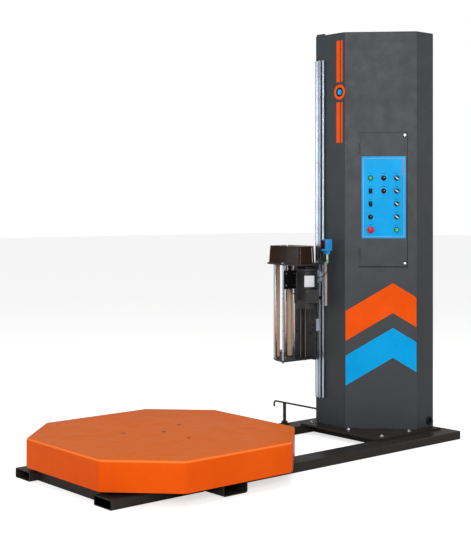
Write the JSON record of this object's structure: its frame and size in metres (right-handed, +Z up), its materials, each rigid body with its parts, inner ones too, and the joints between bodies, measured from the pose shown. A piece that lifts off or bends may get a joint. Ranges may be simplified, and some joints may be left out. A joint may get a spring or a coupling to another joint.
{
  "type": "turntable pallet wrapper",
  "caption": "Stretch wrapper with an octagonal turntable, a mast with a control door, and a film carriage that climbs a rail.",
  "frame": {"origin": "turntable axis on the floor, at the underside of the centre cross tube", "axes": "+X from the turntable to the mast, +Y away from the control side, +Z up along the turntable axis"},
  "size_m": [2.456, 1.25, 2.4],
  "materials": {
    "frame_paint": "semi-gloss dark grey enamel",
    "mast_powder": "fine textured charcoal powder coat",
    "deck_orange": "satin orange powder coat",
    "zinc": "bright zinc plate",
    "rail_alloy": "drawn, satin",
    "machine_steel": "turned and ground",
    "chain_steel": "oiled",
    "cast_housing": "painted casting",
    "roller_chrome": "polished",
    "tan_rubber": "ground tan rubber",
    "black_gloss": "gloss black enamel",
    "black_motor": "satin black",
    "black_plastic": "moulded",
    "white_plastic": "machined",
    "sensor_blue": "moulded",
    "red_plastic": "moulded",
    "green_plastic": "moulded",
    "belt_rubber": "moulded",
    "cable_black": "extruded"
  },
  "bodies": {
    "base": {"side_tubes": "frame_paint", "cross_beams": "frame_paint", "centre_cross_tube": "frame_paint", "turntable_supports": "frame_paint", "turntable_gearmotor": "cast_housing", "drive_chain": "chain_steel", "mast_foot_plate": "frame_paint", "foot_bolts": "zinc", "mast_column": "mast_powder", "mast_back_cover": "mast_powder", "guide_rail": "rail_alloy", "lift_gearmotor": "cast_housing", "lift_chain": "chain_steel", "cable_grommet": "black_plastic", "control_enclosure": "zinc", "hinge_leaves": "mast_powder", "tail_post_socket": "frame_paint"},
    "turntable": {"turntable_cover": "deck_orange", "turntable_frame": "machine_steel"},
    "support_roller_1": {"support_roller_1": "machine_steel"},
    "support_roller_2": {"support_roller_2": "machine_steel"},
    "support_roller_3": {"support_roller_3": "machine_steel"},
    "support_roller_4": {"support_roller_4": "machine_steel"},
    "drive_sprocket": {"drive_sprocket": "chain_steel"},
    "upper_lift_sprocket": {"upper_lift_sprocket": "chain_steel"},
    "lower_lift_sprocket": {"lower_lift_sprocket": "chain_steel"},
    "carriage": {"carriage_back_plate": "black_motor", "carriage_top_plate": "black_motor", "carriage_bottom_plate": "black_motor", "gear_cover": "black_gloss", "tie_rods": "zinc", "guide_shoes": "white_plastic", "carriage_motor": "black_motor", "junction_box": "black_plastic", "sensor_bracket": "black_motor", "photo_eye": "sensor_blue", "sensor_cable": "cable_black", "stretch_belts": "belt_rubber"},
    "motor_pulley": {"motor_pulley": "machine_steel"},
    "prestretch_roller_1": {"prestretch_roller_1": "tan_rubber"},
    "prestretch_roller_2": {"prestretch_roller_2": "tan_rubber"},
    "idler_roller_1": {"idler_roller_1": "roller_chrome"},
    "idler_roller_2": {"idler_roller_2": "roller_chrome"},
    "idler_roller_3": {"idler_roller_3": "roller_chrome"},
    "film_spindle": {"film_spindle": "machine_steel"},
    "door": {"control_door": "mast_powder"},
    "latch_upper": {"door_latch_upper": "zinc"},
    "latch_lower": {"door_latch_lower": "zinc"},
    "e_stop": {"e_stop_button": "red_plastic"},
    "start": {"start_button": "green_plastic"},
    "knob_1": {"speed_knob_1": "black_plastic"},
    "knob_2": {"speed_knob_2": "black_plastic"},
    "knob_3": {"speed_knob_3": "black_plastic"},
    "selector_1": {"selector_1": "black_plastic"},
    "selector_2": {"selector_2": "black_plastic"},
    "selector_3": {"selector_3": "black_plastic"},
    "selector_4": {"selector_4": "black_plastic"},
    "rocker_1": {"rocker_1": "black_plastic"},
    "rocker_2": {"rocker_2": "black_plastic"},
    "tail_post": {"film_tail_post": "frame_paint"}
  },
  "joints": [
    {"name": "turntable_spin", "type": "hinge", "parent": "base", "child": "turntable", "pos_m": [0, 0, 0.214], "axis": [0, 0, 1], "continuous": true},
    {"name": "roller_1_spin", "type": "hinge", "parent": "base", "child": "support_roller_1", "pos_m": [0.18042, 0.357, 0.1156], "axis": [0.451, 0.8925, 0], "continuous": true},
    {"name": "roller_2_spin", "type": "hinge", "parent": "base", "child": "support_roller_2", "pos_m": [-0.18042, 0.357, 0.1156], "axis": [-0.451, 0.8925, 0], "continuous": true},
    {"name": "roller_3_spin", "type": "hinge", "parent": "base", "child": "support_roller_3", "pos_m": [-0.18042, -0.357, 0.1156], "axis": [-0.451, -0.8925, 0], "continuous": true},
    {"name": "roller_4_spin", "type": "hinge", "parent": "base", "child": "support_roller_4", "pos_m": [0.18042, -0.357, 0.1156], "axis": [0.451, -0.8925, 0], "continuous": true},
    {"name": "drive_sprocket_spin", "type": "hinge", "parent": "base", "child": "drive_sprocket", "pos_m": [0.33, 0, 0.118], "axis": [0, 0, 1], "continuous": true},
    {"name": "carriage_lift", "type": "slide", "parent": "base", "child": "carriage", "axis": [0, 0, 1], "range_m": [-0.23, 1.2]},
    {"name": "upper_lift_sprocket_spin", "type": "hinge", "parent": "base", "child": "upper_lift_sprocket", "pos_m": [1.415, 0.22, 2.29], "axis": [0, 1, 0], "range_deg": [-400, 2100]},
    {"name": "lower_lift_sprocket_spin", "type": "hinge", "parent": "base", "child": "lower_lift_sprocket", "pos_m": [1.415, 0.22, 0.17], "axis": [0, 1, 0], "range_deg": [-400, 2100]},
    {"name": "prestretch_2_spin", "type": "hinge", "parent": "carriage", "child": "prestretch_roller_2", "pos_m": [1.276, 0.42, 0.5], "axis": [0, 0, 1], "continuous": true},
    {"name": "prestretch_1_spin", "type": "hinge", "parent": "carriage", "child": "prestretch_roller_1", "pos_m": [1.164, 0.42, 0.5], "axis": [0, 0, 1], "continuous": true},
    {"name": "motor_pulley_spin", "type": "hinge", "parent": "carriage", "child": "motor_pulley", "pos_m": [1.218, 0.215, 1.02], "axis": [0, 0, 1], "continuous": true},
    {"name": "idler_1_spin", "type": "hinge", "parent": "carriage", "child": "idler_roller_1", "pos_m": [1.136, 0.4, 0.5], "axis": [0, 0, 1], "continuous": true},
    {"name": "idler_2_spin", "type": "hinge", "parent": "carriage", "child": "idler_roller_2", "pos_m": [1.198, 0.38, 0.5], "axis": [0, 0, 1], "continuous": true},
    {"name": "idler_3_spin", "type": "hinge", "parent": "carriage", "child": "idler_roller_3", "pos_m": [1.234, 0.343, 0.5], "axis": [0, 0, 1], "continuous": true},
    {"name": "film_spindle_spin", "type": "hinge", "parent": "carriage", "child": "film_spindle", "pos_m": [1.403, 0.567, 0.5], "axis": [0, 0, 1], "continuous": true},
    {"name": "door_swing", "type": "hinge", "parent": "base", "child": "door", "pos_m": [1.41463, -0.02699, 1.012], "axis": [0, 0, -1], "range_deg": [0, 110]},
    {"name": "latch_upper_turn", "type": "hinge", "parent": "door", "child": "latch_upper", "pos_m": [1.60449, -0.21049, 1.782], "axis": [0.7071, 0.7071, 0], "range_deg": [-90, 0]},
    {"name": "latch_lower_turn", "type": "hinge", "parent": "door", "child": "latch_lower", "pos_m": [1.60449, -0.21049, 1.03], "axis": [0.7071, 0.7071, 0], "range_deg": [0, 90]},
    {"name": "e_stop_press", "type": "slide", "parent": "door", "child": "e_stop", "axis": [0.7071, 0.7071, 0], "range_m": [0, 0.005], "stiffness_N_per_m": 600},
    {"name": "start_press", "type": "slide", "parent": "door", "child": "start", "axis": [0.7071, 0.7071, 0], "range_m": [0, 0.004], "stiffness_N_per_m": 500},
    {"name": "knob_1_turn", "type": "hinge", "parent": "door", "child": "knob_1", "pos_m": [1.51716, -0.12316, 1.53], "axis": [0.7071, 0.7071, 0], "range_deg": [-175, 95]},
    {"name": "knob_2_turn", "type": "hinge", "parent": "door", "child": "knob_2", "pos_m": [1.51716, -0.12316, 1.454], "axis": [0.7071, 0.7071, 0], "range_deg": [-175, 95]},
    {"name": "knob_3_turn", "type": "hinge", "parent": "door", "child": "knob_3", "pos_m": [1.46307, -0.06907, 1.302], "axis": [0.7071, 0.7071, 0], "range_deg": [-175, 95]},
    {"name": "selector_1_turn", "type": "hinge", "parent": "door", "child": "selector_1", "pos_m": [1.57125, -0.17725, 1.53], "axis": [0.7071, 0.7071, 0], "range_deg": [0, 100]},
    {"name": "selector_2_turn", "type": "hinge", "parent": "door", "child": "selector_2", "pos_m": [1.57125, -0.17725, 1.454], "axis": [0.7071, 0.7071, 0], "range_deg": [0, 100]},
    {"name": "selector_3_turn", "type": "hinge", "parent": "door", "child": "selector_3", "pos_m": [1.57125, -0.17725, 1.378], "axis": [0.7071, 0.7071, 0], "range_deg": [0, 100]},
    {"name": "selector_4_turn", "type": "hinge", "parent": "door", "child": "selector_4", "pos_m": [1.57125, -0.17725, 1.302], "axis": [0.7071, 0.7071, 0], "range_deg": [0, 100]},
    {"name": "rocker_1_tilt", "type": "hinge", "parent": "door", "child": "rocker_1", "pos_m": [1.46165, -0.07048, 1.454], "axis": [0.7071, -0.7071, 0], "range_deg": [-12, 12]},
    {"name": "rocker_2_tilt", "type": "hinge", "parent": "door", "child": "rocker_2", "pos_m": [1.46165, -0.07048, 1.378], "axis": [0.7071, -0.7071, 0], "range_deg": [-12, 12]},
    {"name": "tail_post_swivel", "type": "hinge", "parent": "base", "child": "tail_post", "pos_m": [1.211, 0.402, 0.1], "axis": [0, 0, 1], "range_deg": [-90, 25]}
  ],
  "couplings": [
    {"joint": "roller_1_spin", "follows": "turntable_spin", "ratio": -12.5},
    {"joint": "roller_2_spin", "follows": "turntable_spin", "ratio": -12.5},
    {"joint": "roller_3_spin", "follows": "turntable_spin", "ratio": -12.5},
    {"joint": "roller_4_spin", "follows": "turntable_spin", "ratio": -12.5},
    {"joint": "drive_sprocket_spin", "follows": "turntable_spin", "ratio": 5},
    {"joint": "upper_lift_sprocket_spin", "follows": "carriage_lift", "rad_per_m": 29.412},
    {"joint": "lower_lift_sprocket_spin", "follows": "carriage_lift", "rad_per_m": 29.412},
    {"joint": "prestretch_1_spin", "follows": "prestretch_2_spin", "ratio": 1.3},
    {"joint": "motor_pulley_spin", "follows": "prestretch_2_spin", "ratio": 1.3636}
  ]
}
